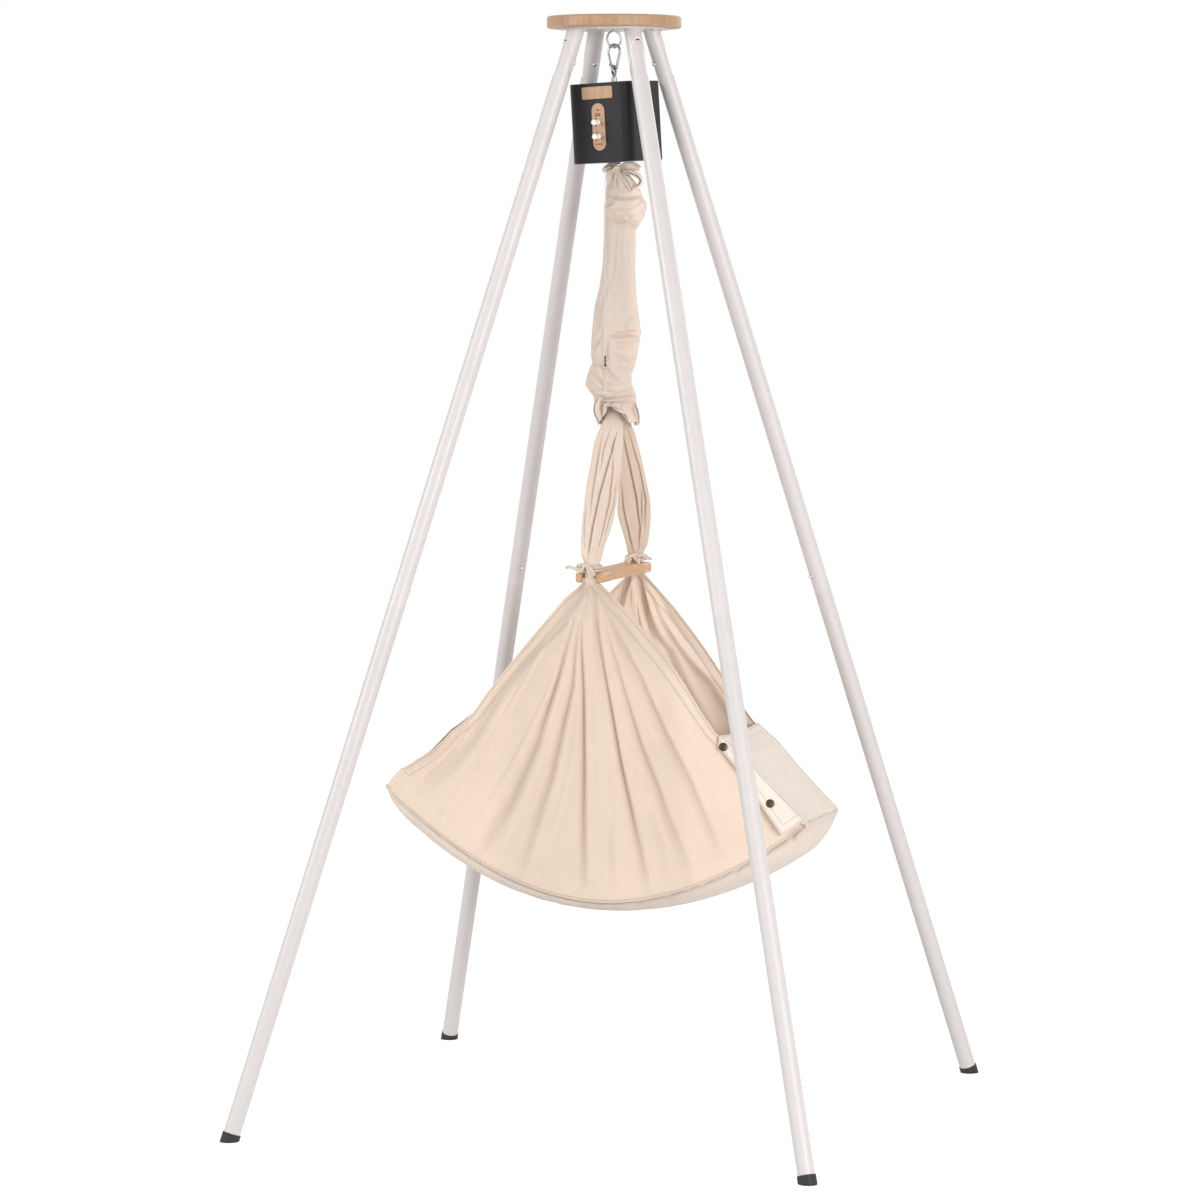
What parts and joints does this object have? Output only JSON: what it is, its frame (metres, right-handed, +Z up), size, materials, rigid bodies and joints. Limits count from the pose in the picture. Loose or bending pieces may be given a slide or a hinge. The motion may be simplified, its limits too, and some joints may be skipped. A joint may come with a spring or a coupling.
{
  "type": "hanging cradle on stand",
  "caption": "Cloth cradle on a spring and motor drive, hung from the round wooden top of a splayed tubular stand.",
  "frame": {"origin": "on the floor, under the middle of the stand and the spring", "axes": "+Z up, +X along the cradle, +Y across it, away from the side that the motor faces"},
  "size_m": [1.1354, 1.1354, 2.05],
  "materials": {
    "beech": "oiled, smooth",
    "stand_enamel": "satin powder coat",
    "foot_rubber": "matte",
    "zinc_steel": "zinc plated, satin",
    "spring_steel": "satin",
    "polished_steel": "polished",
    "case_plastic": "fine texture, matte",
    "knob_plastic": "gloss",
    "bush_plastic": "matte",
    "lens_plastic": "gloss",
    "board_laminate": "matte",
    "cotton_twill": "natural cotton twill",
    "cotton_lining": "natural cotton",
    "mattress_cover": "plain cotton",
    "cotton_cord": "twisted cotton",
    "steel_cord": "fine wire",
    "antique_bronze": "dark antique"
  },
  "bodies": {
    "stand": {"top_disc": "beech", "disc_screws": "zinc_steel", "top_bracket": "stand_enamel", "eye_bolt": "zinc_steel", "eye_nut": "zinc_steel", "upper_leg_1": "stand_enamel", "upper_leg_2": "stand_enamel", "upper_leg_3": "stand_enamel", "upper_leg_4": "stand_enamel", "lower_leg_1": "stand_enamel", "lower_leg_2": "stand_enamel", "lower_leg_3": "stand_enamel", "lower_leg_4": "stand_enamel", "foot_cap_1": "foot_rubber", "foot_cap_2": "foot_rubber", "foot_cap_3": "foot_rubber", "foot_cap_4": "foot_rubber", "snap_springs": "spring_steel"},
    "snap_hook": {"carabiner": "polished_steel"},
    "hook_gate": {"carabiner_gate": "polished_steel"},
    "swivel": {"swivel_eye": "polished_steel"},
    "motor": {"swivel_base": "polished_steel", "motor_case": "case_plastic", "motor_back": "case_plastic", "case_screws": "zinc_steel", "label_plate": "beech", "control_strip": "beech", "led_lens": "lens_plastic", "motor_frame": "spring_steel", "gearmotor": "zinc_steel", "guide_bush": "bush_plastic", "circuit_board": "board_laminate"},
    "upper_knob": {"knob_upper": "knob_plastic"},
    "lower_knob": {"knob_lower": "knob_plastic"},
    "screw": {"drive_screw": "spring_steel"},
    "drive": {"drive_plunger": "zinc_steel", "main_spring": "spring_steel", "spring_sleeve": "cotton_twill", "safety_cord": "steel_cord"},
    "cradle": {"cord_hook": "antique_bronze", "hanger_ring": "polished_steel", "strap_near": "cotton_twill", "strap_far": "cotton_twill", "spreader_bar": "beech", "tie_cords": "cotton_cord", "fan_near": "cotton_twill", "fan_far": "cotton_twill", "mattress": "mattress_cover", "mattress_pocket": "cotton_lining", "end_panel_left": "cotton_lining", "end_panel_right": "cotton_lining", "snap_fasteners": "antique_bronze"},
    "button_1": {"snap_button_1": "zinc_steel"},
    "button_2": {"snap_button_2": "zinc_steel"},
    "button_3": {"snap_button_3": "zinc_steel"},
    "button_4": {"snap_button_4": "zinc_steel"},
    "button_5": {"snap_button_5": "zinc_steel"},
    "button_6": {"snap_button_6": "zinc_steel"},
    "button_7": {"snap_button_7": "zinc_steel"},
    "button_8": {"snap_button_8": "zinc_steel"}
  },
  "joints": [
    {"name": "ring_swing", "type": "hinge", "parent": "stand", "child": "snap_hook", "pos_m": [0, 0, 1.993], "axis": [0.6494, 0.7604, 0], "range_deg": [-4, 4]},
    {"name": "gate_hinge", "type": "hinge", "parent": "snap_hook", "child": "hook_gate", "pos_m": [-0.00614, 0.00114, 1.96074], "axis": [0.1822, 0.9833, 0], "range_deg": [0, 25], "stiffness_Nm_per_rad": 0.01, "springref_deg": -8.59},
    {"name": "hook_swing", "type": "hinge", "parent": "snap_hook", "child": "swivel", "pos_m": [0, 0, 1.9528], "axis": [0.9833, -0.1822, 0], "range_deg": [-4, 4]},
    {"name": "swivel_turn", "type": "hinge", "parent": "swivel", "child": "motor", "pos_m": [0, 0, 1.935], "axis": [0, 0, 1], "continuous": true},
    {"name": "upper_knob_turn", "type": "hinge", "parent": "motor", "child": "upper_knob", "pos_m": [-0.00798, -0.06254, 1.8533], "axis": [-0.1815, -0.983, -0.0279], "range_deg": [-150, 150]},
    {"name": "lower_knob_turn", "type": "hinge", "parent": "motor", "child": "lower_knob", "pos_m": [-0.00662, -0.06206, 1.82734], "axis": [-0.1815, -0.983, -0.0279], "range_deg": [-150, 150]},
    {"name": "drive_slide", "type": "slide", "parent": "motor", "child": "drive", "axis": [0, 0, 1], "range_m": [-0.016, 0]},
    {"name": "screw_turn", "type": "hinge", "parent": "motor", "child": "screw", "pos_m": [0, 0, 1.82], "axis": [0, 0, 1], "range_deg": [-580, 5]},
    {"name": "spring_bounce", "type": "slide", "parent": "drive", "child": "cradle", "axis": [0, 0, 1], "range_m": [-0.12, 0.025], "stiffness_N_per_m": 2600, "springref_m": 0.0129, "deforming": ["main_spring", "spring_sleeve", "safety_cord"]},
    {"name": "button_1_press", "type": "slide", "parent": "stand", "child": "button_1", "axis": [-0.6683, -0.6683, -0.3266], "range_m": [-0.0047, 0], "stiffness_N_per_m": 1500, "springref_m": 0.001},
    {"name": "button_2_press", "type": "slide", "parent": "stand", "child": "button_2", "axis": [0.6683, -0.6683, -0.3266], "range_m": [-0.0047, 0], "stiffness_N_per_m": 1500, "springref_m": 0.001},
    {"name": "button_3_press", "type": "slide", "parent": "stand", "child": "button_3", "axis": [0.6683, 0.6683, -0.3266], "range_m": [-0.0047, 0], "stiffness_N_per_m": 1500, "springref_m": 0.001},
    {"name": "button_4_press", "type": "slide", "parent": "stand", "child": "button_4", "axis": [-0.6683, 0.6683, -0.3266], "range_m": [-0.0047, 0], "stiffness_N_per_m": 1500, "springref_m": 0.001},
    {"name": "button_5_press", "type": "slide", "parent": "stand", "child": "button_5", "axis": [-0.6683, -0.6683, -0.3266], "range_m": [-0.0047, 0], "stiffness_N_per_m": 1500, "springref_m": 0.001},
    {"name": "button_6_press", "type": "slide", "parent": "stand", "child": "button_6", "axis": [0.6683, -0.6683, -0.3266], "range_m": [-0.0047, 0], "stiffness_N_per_m": 1500, "springref_m": 0.001},
    {"name": "button_7_press", "type": "slide", "parent": "stand", "child": "button_7", "axis": [0.6683, 0.6683, -0.3266], "range_m": [-0.0047, 0], "stiffness_N_per_m": 1500, "springref_m": 0.001},
    {"name": "button_8_press", "type": "slide", "parent": "stand", "child": "button_8", "axis": [-0.6683, 0.6683, -0.3266], "range_m": [-0.0047, 0], "stiffness_N_per_m": 1500, "springref_m": 0.001}
  ],
  "couplings": [
    {"joint": "screw_turn", "follows": "drive_slide", "rad_per_m": 628.32}
  ]
}
